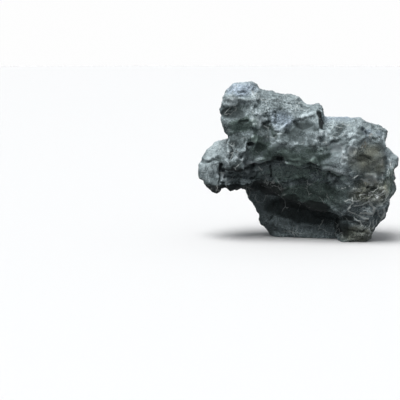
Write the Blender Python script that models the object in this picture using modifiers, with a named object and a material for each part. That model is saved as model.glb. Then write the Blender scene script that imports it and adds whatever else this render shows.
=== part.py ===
"""A seiryu stone: one weathered piece of grey limestone that stands on its own flat base.

The stone is drawn in millimetres, +X to the right, +Y to the back and +Z up, with its origin at the middle
of its base. It starts as a few rough masses joined into one body, with small caves cut out of it. Its sides
are dressed with hollows, overhanging ledges, grooves and crests, and the whole surface is weathered into
scallops and thin beds.
"""

import math

import bmesh
import bpy
import numpy as np
from mathutils import Euler, Vector, noise

# Driving dimensions, in metres.
STONE_LENGTH = 0.200

# The tables below draw a stone of this length, in millimetres.
DRAWN_LENGTH = 200.0
UNIT = STONE_LENGTH / DRAWN_LENGTH

VOXEL = 1.6  # fineness of the body while it is carved
TRIANGLES = 9400  # of the finished solid
ON_PLANE = 0.0001  # how near the base plane a point counts as on it

COLOR = (0.17, 0.19, 0.195, 1.0)
ROUGHNESS = 0.85

# Each mass is the convex hull of its corners (x, y, z).
MASSES = {
    "core": [
        (-66, 6, 60), (-60, 0, 124), (-40, 4, 134), (10, 6, 122), (60, 0, 108), (80, 0, 96), (86, 0, 40),
        (66, 0, 14), (-30, 6, 44), (-72, 28, 94), (-70, 34, 64), (-60, 34, 62), (-54, 38, 126), (10, 40, 114),
        (70, 36, 96), (86, 30, 50), (60, 40, 12), (-30, 44, 36),
    ],
    "heart": [
        (-68, -20, 96), (-66, -20, 70), (-40, -26, 76), (-34, -30, 78), (-34, -34, 102), (20, -30, 90),
        (20, -24, 76), (60, -30, 90), (60, -28, 64), (-60, 20, 96), (-60, 20, 66), (60, 20, 90), (60, 20, 60),
    ],
    "head": [
        (-82, -6, 127), (-77, -6, 138), (-70, -8, 148), (-60, -12, 155), (-47, -12, 155), (-40, -14, 149),
        (-75, -18, 127), (-70, -20, 120), (-50, -32, 122), (-44, -36, 100), (-65, -26, 98), (-66, -8, 96),
        (-70, 8, 148), (-60, 10, 156), (-46, 10, 155), (-38, 8, 150),
        (-66, 26, 118), (-60, 32, 140), (-40, 34, 140), (-64, 34, 96), (-40, 42, 90),
    ],
    "brow": [
        (-44, -22, 132), (-42, -8, 149), (-44, 4, 151), (-20, 6, 147), (-4, 6, 144), (0, 2, 139),
        (2, -22, 122), (-12, -42, 99), (-46, -34, 100), (-52, -30, 82), (-8, -38, 80), (4, -30, 80),
        (-40, 38, 132), (-4, 38, 126), (-44, 48, 80), (0, 50, 80),
    ],
    "shoulder": [
        (-4, 2, 134), (8, 4, 134), (17, 3, 136), (21, 4, 131), (20, -34, 123), (4, -24, 124), (18, -43, 102),
        (-14, -44, 99), (-14, -42, 78), (22, -42, 74), (24, -20, 92), (0, 36, 120), (24, 34, 114),
        (24, 48, 80), (0, 50, 80),
    ],
    "saddle": [
        (22, 0, 120), (34, -2, 120), (50, -2, 122), (60, -2, 123), (63, -4, 119), (58, -42, 112),
        (30, -42, 113), (24, -46, 99), (48, -48, 98), (58, -49, 98), (50, -48, 66), (22, -42, 72),
        (20, 38, 104), (58, 34, 106), (62, 44, 70), (20, 48, 70),
    ],
    "shoulder_end": [
        (56, -20, 113), (62, -2, 117), (73, 0, 112), (83, -2, 111), (84, -14, 109), (54, -48, 106),
        (76, -42, 107), (83, -26, 104), (80, -44, 70), (50, -50, 66), (84, 0, 86), (60, 36, 104),
        (80, 28, 96), (84, 28, 78), (60, 46, 70),
    ],
    "east_flank": [
        (82, 0, 95), (98.4, 0, 83), (98, -4, 76), (99, -4, 66), (96, -4, 58), (94, -2, 38), (87, -4, 31),
        (86, -36, 72), (83, -40, 44), (80, -30, 24), (70, -42, 40), (70, -44, 70),
        (92, 22, 84), (88, 34, 50), (80, 30, 24), (60, 44, 40), (60, 46, 80),
    ],
    "lower_bed": [
        (-44, -9, 78), (-40, -10, 60), (-24, -12, 58), (-20, -12, 44), (4, -13, 38), (28, -18, 34),
        (34, -20, 30), (58, -34, 22), (72, -36, 22), (72, -45, 68), (46, -44, 68), (40, -18, 80),
        (-40, 44, 80), (-40, 40, 50), (0, 44, 34), (40, 44, 24), (70, 40, 24), (70, 44, 60),
    ],
    "toe": [
        (42, -18, 6), (44, -22, -4), (64, -22, -4), (72, -16, 2), (81, -10, 18), (83, -8, 30),
        (81, -22, 34), (42, -20, 32), (70, -30, 28), (40, 30, -4), (64, 26, -4), (76, 24, 16),
        (80, 28, 30), (40, 40, 30),
    ],
    "west_end": [
        (-101, 4, 80), (-98, -8, 72), (-99, -8, 60), (-94, -8, 52), (-86, -18, 48), (-78, -24, 50),
        (-78, -27, 78), (-91, -4, 80), (-82, 0, 88), (-78, 4, 98), (-70, 4, 100), (-72, -16, 88),
        (-97, 16, 78), (-92, 22, 58), (-76, 34, 90), (-66, 36, 56), (-66, 38, 86),
    ],
    "west_block": [
        (-75, -30, 74), (-74, -32, 88), (-70, -20, 102), (-58, -34, 101), (-51, -40, 95), (-54, -43, 84),
        (-58, -42, 74), (-58, -34, 70), (-74, -26, 70), (-70, 20, 98), (-50, 20, 94), (-60, 20, 68),
    ],
    "west_bed": [
        (-76, -16, 70), (-78, -14, 54), (-56, -20, 52), (-48, -20, 55), (-38, -22, 66), (-34, -20, 72),
        (-76, 30, 66), (-70, 30, 52), (-44, 34, 52), (-40, 34, 70),
    ],
    "foot": [
        (-24, 20, -4), (-44, 22, 30), (-58, 14, 56), (-20, 10, -4), (20, 6, -4), (44, 0, -4), (44, -4, 40),
        (-10, 6, 50), (-20, 42, -4), (-54, 40, 50), (0, 46, -4), (40, 40, -4), (46, 44, 40), (0, 50, 50),
    ],
}

# Each cave is an ellipsoid cut out of the body: centre, radii, and its tilt about +Y in degrees.
CAVES = {
    "lip_cave": ((-20.5, -36, 83), (6.5, 15, 4), 0),
    "lip_nook": ((9, -42, 75), (4, 10, 3), 0),
    "notch": ((26.5, -38, 121), (8, 26, 13.5), 5),
    "brow_end": ((5.5, 2, 143), (6.5, 34, 7.5), 0),
}

# Which axes a side of the stone is drawn on (across, up), the axis it is cut along, and which way is in.
SIDES = {
    "front": (0, 2, 1, 1),
    "back": (0, 2, 1, -1),
    "east": (1, 2, 0, -1),
    "west": (1, 2, 0, 1),
    "top": (0, 1, 2, -1),
}

# Each hollow is a bowl with a crisp rim: centre, half sizes, tilt in degrees and depth.
HOLLOWS = {
    "front": {
        "head_upper": ((-66, 132), (18, 11), 188, 7),
        "head_lower": ((-60, 111), (15, 12), 186, 7),
        "pitted_face": ((-20, 126), (12, 10), 0, 2.5),
        "valley": ((-37, 104), (11, 22), -6, 8),
        "under_valley": ((-40, 88), (12, 10), -8, 7),
        "great_scoop": ((2, 111), (22, 14), 22, 9),
        "notch_side": ((31, 117), (9, 9), 0, 7),
        "plateau_dip": ((37, 112), (6, 5), -15, 5),
        "spur_side": ((30, 92), (8, 14), -20, 4),
        "east_upper": ((61, 82), (14, 6), -14, 2.5),
        "east_edge": ((82, 84), (6, 7), 0, 4),
        "east_middle": ((66, 60), (14, 9), 8, 3),
        "block_hole": ((-49, 97), (4, 2.5), -10, 4),
        "west_pocket": ((-81, 85), (4, 4), 0, 6),
        "west_face": ((-86, 66), (9, 12), -10, 4),
        "low_left": ((-52, 60), (12, 6), 4, 5),
        "low_middle": ((-2, 58), (16, 10), 4, 1.5),
        "toe_top": ((56, 26), (13, 6), -5, 6),
    },
    "back": {
        "high_hollow": ((-40, 112), (26, 20), 12, 9),
        "high_scoop": ((8, 96), (18, 15), -20, 8),
        "east_hollow": ((52, 78), (22, 16), 10, 9),
        "low_scoop": ((22, 57), (24, 10), -14, 6),
        "west_hollow": ((-58, 72), (16, 14), -15, 7),
        "foot_hollow": ((-14, 22), (22, 11), 0, 5),
        "east_foot": ((56, 34), (16, 12), -12, 6),
    },
    "east": {
        "upper": ((-12, 88), (14, 9), 10, 5),
        "middle": ((8, 60), (16, 12), -10, 6),
        "lower": ((-8, 34), (14, 9), 6, 5),
        "back_edge": ((26, 86), (9, 12), 0, 5),
    },
    "west": {
        "head": ((12, 126), (13, 13), 20, 5),
        "under_head": ((6, 113), (16, 10), 8, 6),
        "end": ((6, 70), (11, 9), -8, 4),
    },
    "top": {
        "brow": ((-22, 20), (14, 11), 10, 5),
        "shoulder": ((10, 20), (11, 10), 0, 4),
        "saddle": ((44, 14), (14, 14), 0, 5),
        "east": ((74, 10), (9, 12), 0, 4),
    },
}

# Each ledge overhangs: its edge (across, up), how far the rock below is set back, and how far down that goes.
LEDGES = {
    "front": {
        "west_lip": ([(-78, 73), (-60, 72), (-50, 78), (-42, 80)], 10, 20),
        "lip": ([(-44, 80), (-32, 82), (-14, 83), (2, 79), (9, 80), (15, 77), (25, 72), (36, 67)], 10, 25),
        "east_lip": ([(34, 67), (52, 64), (64, 63), (76, 66)], 3, 8),
        "bed_crease": ([(-26, 64), (-10, 64), (4, 63), (20, 60)], 1.5, 6),
        "great_rim": ([(-21, 104), (-15, 112), (-3, 120), (9, 124), (22, 128)], 3, 10),
        "facet_edge": ([(42, 92), (50, 99), (58, 103), (70, 105), (84, 106)], 1.5, 10),
        "brow_step": ([(-42, 118), (-30, 120), (-18, 117)], 3, 8),
        "toe_bed": ([(42, 16), (56, 15), (70, 13)], 3, 7),
        "toe_high": ([(50, 42), (64, 41), (84, 44)], 4, 9),
    },
    "back": {
        "high": ([(-66, 98), (-44, 88), (-14, 90), (12, 80)], 6, 14),
        "low": ([(-50, 58), (-24, 50), (10, 40), (36, 42), (58, 50), (80, 44)], 6, 16),
        "east": ([(30, 84), (56, 92), (80, 86)], 5, 12),
    },
    "east": {
        "high": ([(-36, 76), (-8, 72), (24, 78)], 2.5, 12),
        "low": ([(-28, 44), (4, 46), (30, 42)], 3, 12),
    },
    "west": {
        "neck": ([(-22, 100), (4, 104), (30, 98)], 5, 8),
        "end": ([(-14, 62), (6, 60), (26, 64)], 4, 8),
    },
}

# Each stroke follows a line (across, up): half width, and depth (+ cuts in, - stands out).
STROKES = {
    "front": {
        "west_joint": ([(-78, 98), (-77, 84), (-77, 54)], 3.0, 7.0),
        "block_joint": ([(-69, 106), (-68, 92), (-67, 78)], 2.5, 3.5),
        "block_side": ([(-46, 99), (-52, 96), (-53, 89), (-59, 84)], 3.0, 4.0),
        "head_rim": ([(-50, 146), (-45, 139), (-48, 131), (-58, 122), (-70, 118)], 3.0, -1.6),
        "spine": ([(-33, 124), (-30, 112), (-26, 104)], 4.0, 2.5),
        "spur": ([(30, 110), (38, 96), (44, 78)], 6.0, -3.5),
        "lip_crack": ([(24, 71), (34, 64), (38, 58)], 2.5, 4.0),
        "low_joint": ([(-29, 78), (-29, 66)], 2.5, 3.0),
        "toe_joint": ([(40, 30), (42, 14), (44, 2)], 3.0, 3.0),
    },
    "back": {
        "long_crack": ([(-38, 124), (-20, 104), (-23, 86), (-4, 68), (4, 46)], 3.0, 4.5),
        "crest": ([(24, 112), (36, 92), (38, 72), (52, 56)], 7.0, -4.0),
        "east_crack": ([(70, 92), (64, 66), (70, 44)], 2.5, 4.0),
    },
    "east": {
        "crack": ([(12, 96), (8, 74), (14, 50)], 2.5, 3.5),
    },
    "top": {
        "crack": ([(-40, 4), (-20, 10), (4, 26)], 2.5, 3.0),
        "saddle_crack": ([(30, 8), (52, 14), (70, 8)], 2.5, 3.0),
    },
}

FACING_GAIN = 2.0  # how soon the carving of one side fades as its surface turns away
BOWL_LEAN = 0.5  # how much steeper a bowl is towards its top
LEDGE_FADE = 6.0  # how fast a ledge dies out at its ends

# Weathering: the size of a feature and how far it stands out.
WIDE_SCALLOPS = (22.0, 1.7)
SMALL_SCALLOPS = (11.0, 1.6)
BEDS = (11.0, 2.2)
CHIPS = (14.0, 1.2)
CHIP_OCTAVES = 4
CHIP_DECAY = 1.0
CHIP_STEP = 2.0
SWELL = (40.0, 1.0)

SCALLOP_SQUASH = 1.5  # how much flatter than wide a scallop is
SCALLOP_START = Vector((200, 10, 7))
SCALLOP_WARP = 0.45
DRIFT_STARTS = (Vector((0, 0, 0)), Vector((9.3, 1.5, 7.9)), Vector((4.1, 8.2, 3.6)))
RIM_LIMIT = 2.0  # how high the sharpest rims rise, against the depth of a hollow
SMOOTHEST = 0.3  # share of the small scallops left on the smoothest patches
PATCH = 30.0  # size of the patches that are rough or smooth
PATCH_START = Vector((7, 3, 1))
BEDDED_PATCH = 45.0  # size of the patches that show their beds
BEDDED_START = Vector((2, 9, 4))
BED_NORMAL = Vector((-0.12, 0.18, 0.97)).normalized()
BED_WAVE = 34.0  # size of the waves in the beds
BED_SLOPE = 1.25  # how soon a bed falls back behind its edge
BED_CURVE = 0.6


def new_object(name, mesh, collection, helper=False):
    obj = bpy.data.objects.new(name, mesh)
    collection.objects.link(obj)
    obj.hide_render = helper
    obj.display_type = "WIRE" if helper else "TEXTURED"
    return obj


def hull(name, corners, collection):
    """A rough block: the convex hull of its corners."""
    body = bmesh.new()
    for corner in corners:
        body.verts.new(Vector(corner) * UNIT)
    made = bmesh.ops.convex_hull(body, input=body.verts)
    loose = [item for item in made["geom_interior"] if isinstance(item, bmesh.types.BMVert)]
    bmesh.ops.delete(body, geom=loose, context="VERTS")
    bmesh.ops.recalc_face_normals(body, faces=body.faces)
    mesh = bpy.data.meshes.new(name)
    body.to_mesh(mesh)
    body.free()
    return new_object(name, mesh, collection, helper=True)


def cave(name, middle, radii, tilt, collection):
    """A round cutter."""
    body = bmesh.new()
    bmesh.ops.create_icosphere(body, subdivisions=3, radius=1.0)
    mesh = bpy.data.meshes.new(name)
    body.to_mesh(mesh)
    body.free()
    obj = new_object(name, mesh, collection, helper=True)
    obj.location = Vector(middle) * UNIT
    obj.scale = Vector(radii) * UNIT
    obj.rotation_euler = Euler((0.0, math.radians(tilt), 0.0))
    return obj


def boolean(obj, name, operation, collection):
    modifier = obj.modifiers.new(name, "BOOLEAN")
    modifier.operand_type = "COLLECTION"
    modifier.operation = operation
    modifier.collection = collection


def voxel_remesh(obj, name):
    modifier = obj.modifiers.new(name, "REMESH")
    modifier.mode = "VOXEL"
    modifier.voxel_size = VOXEL * UNIT


def apply_modifiers(obj):
    """Replaces the object's mesh by what its modifiers make of it."""
    bpy.context.view_layer.update()
    graph = bpy.context.evaluated_depsgraph_get()
    made = bpy.data.meshes.new_from_object(obj.evaluated_get(graph))
    made.name = obj.name
    obj.modifiers.clear()
    obj.data = made


def read_points(mesh):
    points = np.empty(len(mesh.vertices) * 3)
    mesh.vertices.foreach_get("co", points)
    normals = np.empty(len(mesh.vertices) * 3)
    mesh.vertex_normals.foreach_get("vector", normals)
    return points.reshape(-1, 3) / UNIT, normals.reshape(-1, 3)


def write_points(mesh, points):
    mesh.vertices.foreach_set("co", (points * UNIT).ravel())
    mesh.update()


def bell(distance, radius):
    """1 on the line and 0 from the radius outwards, smooth between."""
    return np.clip(1 - (distance / radius) ** 2, 0, 1) ** 2


def distance_to_line(flat, line):
    """How far each 2D point is from a line through several points."""
    nearest = np.full(len(flat), np.inf)
    for start, end in zip(line[:-1], line[1:]):
        start, along = np.array(start, float), np.subtract(end, start)
        share = np.clip((flat - start) @ along / (along @ along), 0, 1)
        nearest = np.minimum(nearest, np.linalg.norm(flat - start - share[:, None] * along, axis=1))
    return nearest


def bowl(flat, middle, half, tilt):
    """1 at the middle and 0 at a crisp rim."""
    angle = math.radians(tilt)
    across, up = (flat - middle).T
    u = (across * math.cos(angle) + up * math.sin(angle)) / half[0]
    v = (up * math.cos(angle) - across * math.sin(angle)) / half[1]
    return np.clip(1 - u * u - v * v, 0, 1) * (1 + BOWL_LEAN * v)


def under(flat, line, reach):
    """1 just below the line, fading to 0 at the reach and at the ends of the line."""
    across, up = flat.T
    ends = np.clip(np.minimum(across - line[0][0], line[-1][0] - across) / LEDGE_FADE, 0, 1)
    drop = np.interp(across, *zip(*line)) - up
    return np.where(drop > 0, np.clip(1 - drop / reach, 0, 1), 0) * ends


def dress(mesh):
    """Cuts the hollows, ledges and grooves of each side."""
    points, normals = read_points(mesh)
    drawn = points.copy()
    for side, (across, up, along, inward) in SIDES.items():
        flat = drawn[:, [across, up]]
        depth = np.zeros(len(flat))
        for middle, half, tilt, deep in HOLLOWS[side].values():
            depth += deep * bowl(flat, middle, half, tilt)
        for line, deep, reach in LEDGES.get(side, {}).values():
            depth += deep * under(flat, line, reach)
        for line, half_width, deep in STROKES.get(side, {}).values():
            depth += deep * bell(distance_to_line(flat, line), half_width)
        facing = np.clip(-FACING_GAIN * inward * normals[:, along], 0, 1)
        points[:, along] += inward * facing * depth
    write_points(mesh, points)


def drift(place):
    """A smooth shift that changes from place to place."""
    return Vector([noise.noise(place + start) for start in DRIFT_STARTS])


def scallop(point, size):
    """-1 at the middle of a hollow, rising to a sharp rim where hollows meet."""
    place = point / size
    place += SCALLOP_WARP * drift(place)
    nearest = noise.voronoi(place)[0][0]
    return min(4 * nearest * nearest - 1, RIM_LIMIT)


def beds(point, thickness):
    """Thin beds that stand out at their lower edge, as they weather: -1 to 1."""
    height = point.dot(BED_NORMAL) / thickness + noise.noise(point / BED_WAVE)
    share = height - math.floor(height)
    return 1 - 2 * min(share * BED_SLOPE, 1) ** BED_CURVE


def weathering(point):
    """How far the surface stands out at a point."""
    flat = Vector((point.x, point.y, point.z * SCALLOP_SQUASH)) + SCALLOP_START
    rough = (1 + noise.noise(point / PATCH + PATCH_START)) / 2
    bedded = max(0, noise.noise(point / BEDDED_PATCH + BEDDED_START))
    height = WIDE_SCALLOPS[1] * scallop(flat, WIDE_SCALLOPS[0])
    height += SMALL_SCALLOPS[1] * max(rough, SMOOTHEST) * scallop(flat, SMALL_SCALLOPS[0])
    height += BEDS[1] * bedded * beds(point, BEDS[0])
    height += CHIPS[1] * noise.fractal(point / CHIPS[0], CHIP_DECAY, CHIP_STEP, CHIP_OCTAVES)
    return height + SWELL[1] * noise.noise(point / SWELL[0])


def weather(mesh):
    points, normals = read_points(mesh)
    height = np.array([weathering(Vector(point)) for point in points])
    write_points(mesh, points + normals * height[:, None])


def cut_base(mesh):
    """Cuts the stone off flat at z = 0, where it stands."""
    body = bmesh.new()
    body.from_mesh(mesh)
    every = body.verts[:] + body.edges[:] + body.faces[:]
    cut = bmesh.ops.bisect_plane(
        body, geom=every, dist=ON_PLANE * UNIT, plane_co=(0, 0, 0), plane_no=(0, 0, -1), clear_outer=True
    )
    rim = [item for item in cut["geom_cut"] if isinstance(item, bmesh.types.BMEdge)]
    bmesh.ops.holes_fill(body, edges=rim, sides=0)
    bmesh.ops.triangulate(body, faces=body.faces)
    bmesh.ops.recalc_face_normals(body, faces=body.faces)
    body.to_mesh(mesh)
    body.free()


def centre(mesh):
    """Moves the stone so that the middle of its box stands over the origin."""
    points, _ = read_points(mesh)
    middle = (points.min(axis=0) + points.max(axis=0)) / 2
    write_points(mesh, points - (middle[0], middle[1], 0))


def decimate(obj, triangles):
    obj.data.calc_loop_triangles()
    modifier = obj.modifiers.new("fewer faces", "DECIMATE")
    modifier.ratio = triangles / len(obj.data.loop_triangles)
    modifier.use_collapse_triangulate = True


def limestone():
    material = bpy.data.materials.new("limestone")
    material.use_nodes = True
    shader = material.node_tree.nodes["Principled BSDF"].inputs
    shader["Base Color"].default_value = COLOR
    shader["Roughness"].default_value = ROUGHNESS
    shader["Metallic"].default_value = 0.0
    return material


def main():
    for obj in list(bpy.data.objects):
        bpy.data.objects.remove(obj)
    seiryu_stone = bpy.data.collections.new("seiryu_stone")
    masses = bpy.data.collections.new("masses")
    caves = bpy.data.collections.new("caves")
    for collection in (seiryu_stone, masses, caves):
        bpy.context.scene.collection.children.link(collection)
    for name, corners in MASSES.items():
        hull(name, corners, masses)
    for name, (middle, radii, tilt) in CAVES.items():
        cave(name, middle, radii, tilt, caves)
    stone = new_object("stone", bpy.data.meshes["core"].copy(), seiryu_stone)
    boolean(stone, "join masses", "UNION", masses)
    boolean(stone, "cut caves", "DIFFERENCE", caves)
    voxel_remesh(stone, "one body")
    apply_modifiers(stone)
    dress(stone.data)
    weather(stone.data)
    voxel_remesh(stone, "even faces")
    apply_modifiers(stone)
    decimate(stone, TRIANGLES)
    apply_modifiers(stone)
    cut_base(stone.data)
    centre(stone.data)
    stone.data.materials.append(limestone())


main()
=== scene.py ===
"""Looks of the seiryu stone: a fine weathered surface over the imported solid, its limestone and a studio.

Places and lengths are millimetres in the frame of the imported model: +X to the right, +Y to the back, +Z up.
What is drawn on a side is drawn in its plane: (x, z) on the back, (y, z) on the east and the west, and (x, y)
on the top. The front is drawn by pixels of the photograph, and on_front finds their places on the stone.
"""

import math

import bpy
import numpy as np
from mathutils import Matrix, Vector, noise
from mathutils.bvhtree import BVHTree


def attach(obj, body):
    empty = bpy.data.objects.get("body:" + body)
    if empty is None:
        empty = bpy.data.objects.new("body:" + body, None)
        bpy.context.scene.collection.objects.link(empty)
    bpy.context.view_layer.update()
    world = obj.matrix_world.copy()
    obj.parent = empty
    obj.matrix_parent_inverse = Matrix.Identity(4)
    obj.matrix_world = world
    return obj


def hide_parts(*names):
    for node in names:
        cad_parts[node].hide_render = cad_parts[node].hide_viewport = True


MM = 0.001

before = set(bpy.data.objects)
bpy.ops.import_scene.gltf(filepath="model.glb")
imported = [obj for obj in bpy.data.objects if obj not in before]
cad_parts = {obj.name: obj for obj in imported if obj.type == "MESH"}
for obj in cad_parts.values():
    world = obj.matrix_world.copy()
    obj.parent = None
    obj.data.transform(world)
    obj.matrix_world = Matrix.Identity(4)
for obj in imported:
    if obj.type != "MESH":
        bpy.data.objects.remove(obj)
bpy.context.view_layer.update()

# Camera: the photograph is 400 pixels wide and high, and a pixel is 1 mm where the stone stands.
PHOTO_SIZE = 400
LENS = 120.0
SENSOR = 36.0
ELEVATION = math.radians(7)
BACKWARD = Vector((0, -math.cos(ELEVATION), math.sin(ELEVATION)))
UPWARD = Vector((0, math.sin(ELEVATION), math.cos(ELEVATION)))
AIM = Vector((-0.098, 0, 0.039))  # in metres, as EYE is
EYE = AIM + BACKWARD * (PHOTO_SIZE * MM * LENS / SENSOR)
FRONT_PIXEL = 0.98  # a pixel in millimetres on the stone's front, which is nearer than its middle

# The fine surface.
VOXEL = 1.12
SMOOTHING = 3
FACING_ROUNDS = 10  # smoothing of the normals that tell which side a place belongs to
BASE_FADE = 4.0  # the base is flat, and the relief reaches its full height this far above it

# Relief: the size of a feature and how far it stands out.
CELLS = (5.2, 0.38)
GRIT = (2.4, 0.34)
CHIPS = (6.0, 0.38)
PITS = (4.2, 1.4)
LAMINAE = (2.5, 0.45)
CELL_SQUEEZE = 1.3  # the cells are this much wider than high
CELL_RIM = 1.6  # how high the sharp rims between the cells may rise, as a share of their depth
GRIT_RIM = 1.4
WARP = 0.4  # how far the cells and the grit are bent, as a share of their size
PIT_WARP = 0.5
PIT_WIDTH = 0.36  # a pit's radius as a share of the space between pits
WAVES = (22.0, 1.3)  # the waves of the laminae: their size, and how many laminae they shift
RIM_HEIGHT = 0.7
BED_NORMAL = Vector((-0.12, 0.18, 0.97)).normalized()
DRIFT_STARTS = (Vector((0, 0, 0)), Vector((9.3, 1.5, 7.9)), Vector((4.1, 8.2, 3.6)))
SMOOTH_SHARE = 0.15  # share of the relief that is left where the rock is smooth
PATCH_SIZE = 26.0  # size of the patches where the rock is a little rougher, more pitted or less bedded
PATCH_SHARE = 0.6  # how strongly they change the pits and the beds

# Lines and tones: how far they reach, and the size and the amount of the drift that makes them uneven.
GROOVE_REACH = 1.5  # of a crack's half width
EDGE_REACH = 1.6  # of a rim's half width, for its painted highlight
VEIN_REACH = (1.2, 0.7)  # of any vein, and what a fully clear one adds
VEIN_STRENGTH = (0.15, 0.9)  # likewise
LINE_DRIFT = (5.0, 1.2)
VEIN_DRIFT = (4.0, 0.9)
TONE_DRIFT = (9.0, 2.6)
STAIN_DRIFT = (10.0, 4.0)
TONE_EDGE = (1.15, 0.4)  # where a tone ends and how wide its soft edge is, as shares of its half sizes
TONE_SQUARE = 2.6  # 2 would make a tone an ellipse, and more squares its corners

# Exposure: the sky is looked at in rings of directions, each given by its height and how many it has.
SKY_RINGS = ((0.95, 4), (0.75, 7), (0.5, 9), (0.22, 10))
SKY_REACH = 90.0  # how far away a thing still shades a place
SKY_START = 0.6  # how far above the surface a look starts
SKY_SPREAD = 0.25  # added to the cosine, so that a grazing look still counts
SKY_BEHIND = 0.15  # the weight of a look that starts into the rock and so sees nothing

# How far a place stands out: rounds of smoothing to compare it with, and the height that counts as 1.
RISES = {"crest": (4, 0.35), "bulge": (30, 1.6)}

# The sides: the axes of a side's plane (across, up) and the way that it faces.
SIDES = {
    "front": (0, 2, (0, -0.97, 0.24)),
    "back": (0, 2, (0, 1, 0)),
    "east": (1, 2, (1, 0, 0)),
    "west": (1, 2, (-1, 0, 0)),
    "top": (0, 1, (0, 0, 1)),
}

# How far a surface may turn from a side (the cosine where its drawing starts, and where it is full).
BROADLY = {"front": (-0.6, -0.1), "other": (0.1, 0.5)}
CLEARLY = {"front": (-0.05, 0.10), "other": (0.05, 0.30)}
FRONT_END = (22.0, 12.0)  # how far back the drawing of the front ends, and over how much it fades out
ASIDE = (0.82, 0.96)  # lines of the front fade out as the surface turns to the east or the west

# Where the surface is smooth, pitted or thinly bedded: ellipsoids by their middle and half sizes.
SMOOTH = [
    ((0, -34, 112), (20, 16, 13)),
    ((-66, -24, 128), (14, 14, 12)),
    ((4, -38, 87), (48, 20, 14)),
    ((-36, -32, 88), (22, 20, 15)),
    ((-86, -8, 80), (16, 22, 14)),
    ((66, -42, 84), (30, 20, 26)),
    ((34, -42, 85), (17, 16, 19)),
    ((-88, -12, 68), (16, 18, 22)),
    ((94, -8, 62), (12, 22, 34)),
    ((-62, -26, 118), (16, 16, 16)),
    ((10, -30, 106), (24, 18, 16)),
    ((10, 44, 84), (30, 16, 22)),
    ((50, 40, 50), (26, 16, 16)),
    ((-30, 30, 130), (20, 16, 14)),
]
PITTED = [
    ((-84, -8, 94), (18, 20, 12)),
    ((-54, -20, 150), (22, 16, 9)),
    ((44, -30, 114), (26, 16, 9)),
    ((-22, -22, 126), (24, 24, 18)),
    ((-42, -20, 118), (10, 16, 12)),
    ((70, -36, 106), (12, 14, 8)),
    ((84, -30, 84), (10, 14, 12)),
    ((-40, 40, 100), (28, 16, 18)),
    ((60, 36, 92), (20, 16, 14)),
    ((20, 20, 122), (24, 16, 12)),
]
BEDDED = [
    ((-58, -20, 60), (26, 16, 12)),
    ((66, -34, 38), (30, 20, 20)),
    ((58, -26, 10), (26, 22, 14)),
    ((88, 0, 60), (14, 34, 34)),
    ((0, 48, 60), (60, 14, 16)),
    ((-86, 20, 70), (16, 20, 16)),
]
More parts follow.
